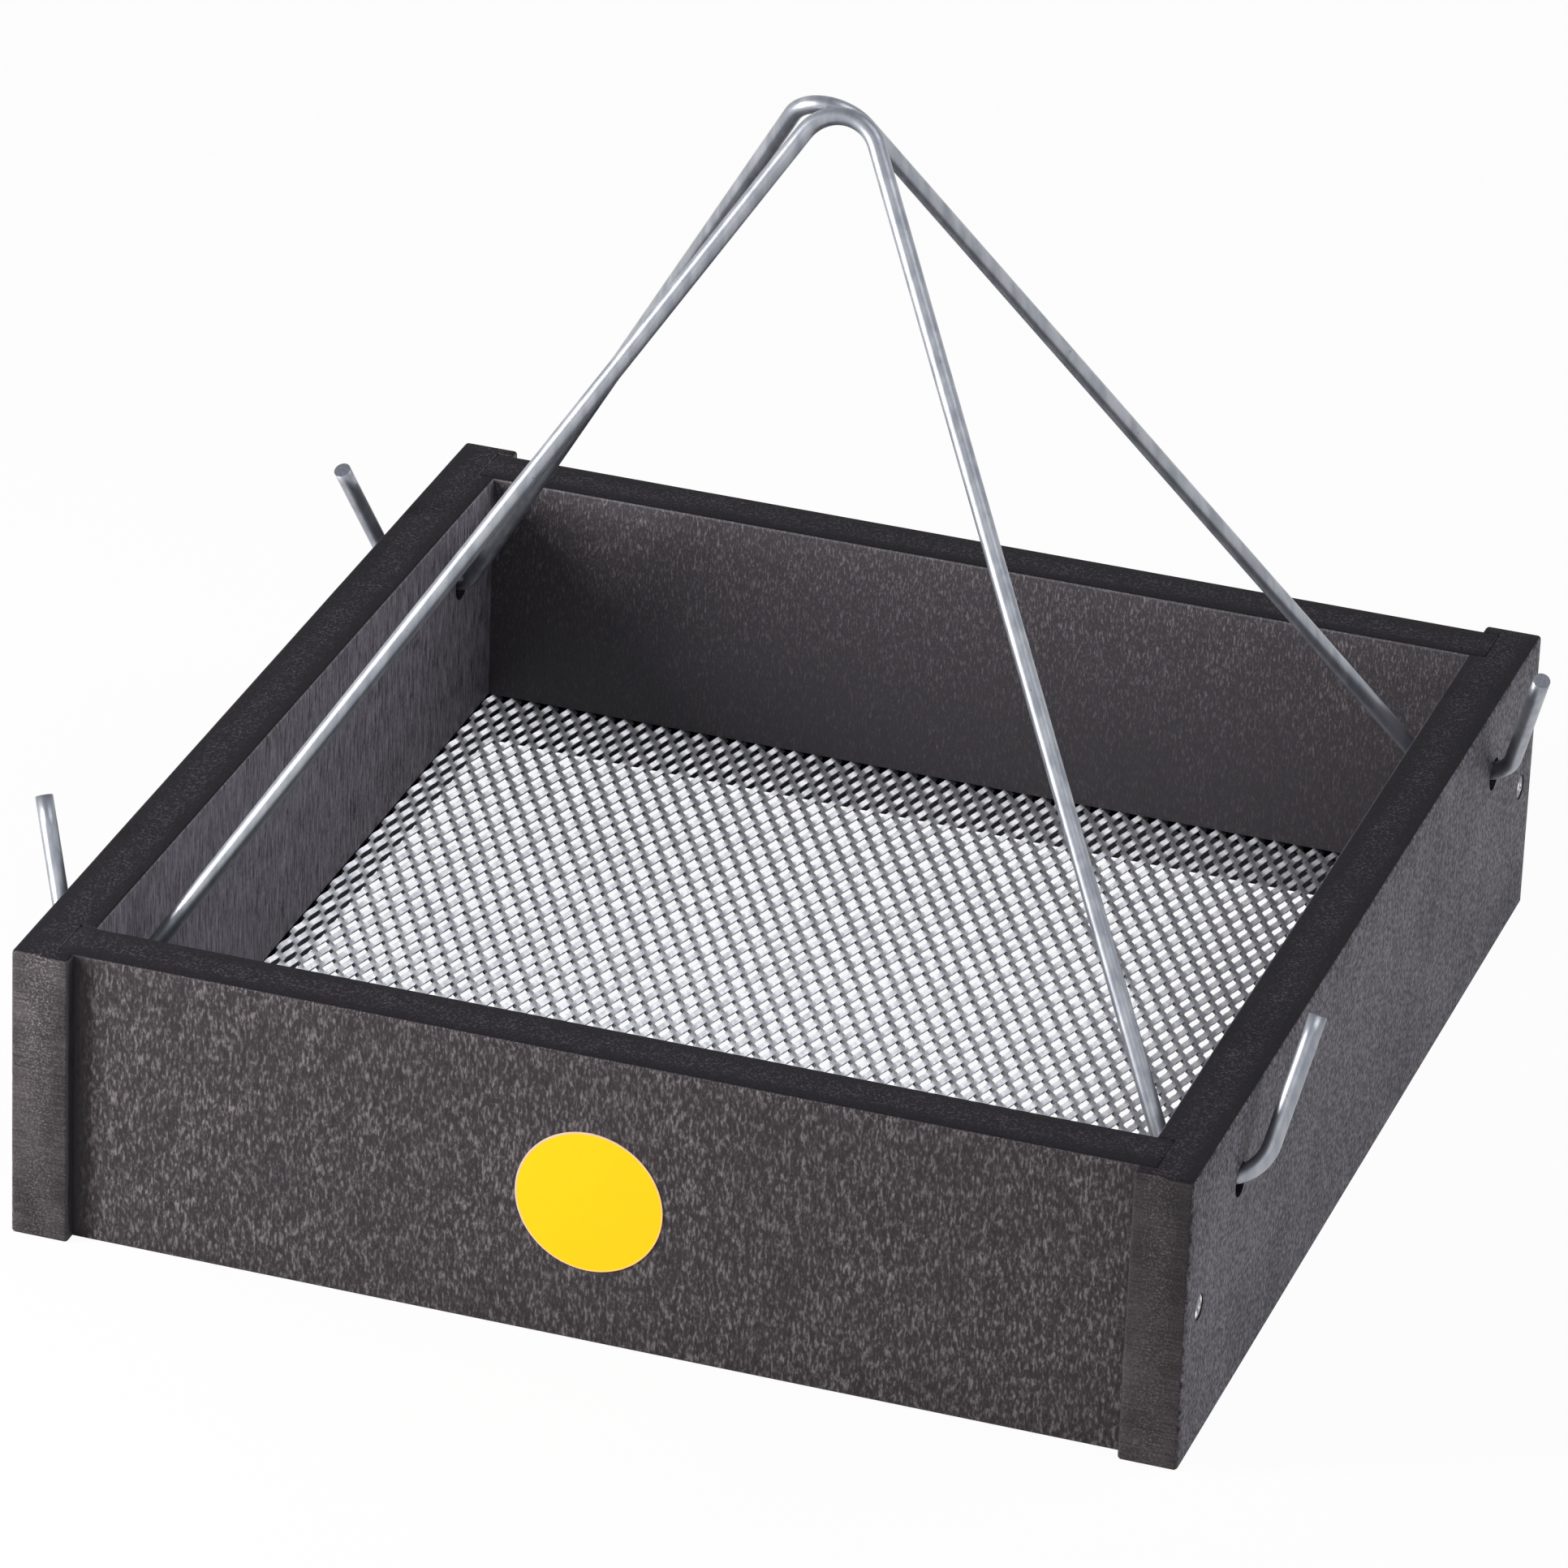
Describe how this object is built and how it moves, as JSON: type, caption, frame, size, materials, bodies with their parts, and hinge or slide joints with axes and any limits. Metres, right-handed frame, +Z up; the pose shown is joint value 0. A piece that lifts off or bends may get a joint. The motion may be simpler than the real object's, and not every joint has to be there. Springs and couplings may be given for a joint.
{
  "type": "platform bird feeder",
  "caption": "Hanging platform bird feeder: a square open tray of dark grey recycled-plastic boards with an expanded-metal screen floor and swinging wire hangers.",
  "frame": {"origin": "centre of the tray's underside, on the surface the tray stands on", "axes": "+X to the right along the front board that carries the round label, +Y to the back along the side boards, +Z up"},
  "size_m": [0.2846, 0.2666, 0.2252],
  "materials": {
    "board_plastic": "brushed",
    "screen_metal": "satin",
    "hanger_wire": "satin",
    "screw_metal": "satin",
    "label_paper": "satin"
  },
  "bodies": {
    "tray": {"left_board": "board_plastic", "right_board": "board_plastic", "front_board": "board_plastic", "back_board": "board_plastic", "screen_floor": "screen_metal", "corner_screws": "screw_metal", "round_label": "label_paper"},
    "front_hanger": {"front_hanger": "hanger_wire"},
    "rear_hanger": {"rear_hanger": "hanger_wire"}
  },
  "joints": [
    {"name": "front_hanger_swing", "type": "hinge", "parent": "tray", "child": "front_hanger", "pos_m": [0, -0.09755, 0.049], "axis": [1, 0, 0], "range_deg": [0, 72.3]},
    {"name": "rear_hanger_swing", "type": "hinge", "parent": "tray", "child": "rear_hanger", "pos_m": [0, 0.09755, 0.049], "axis": [-1, 0, 0], "range_deg": [0, 72.3]}
  ]
}
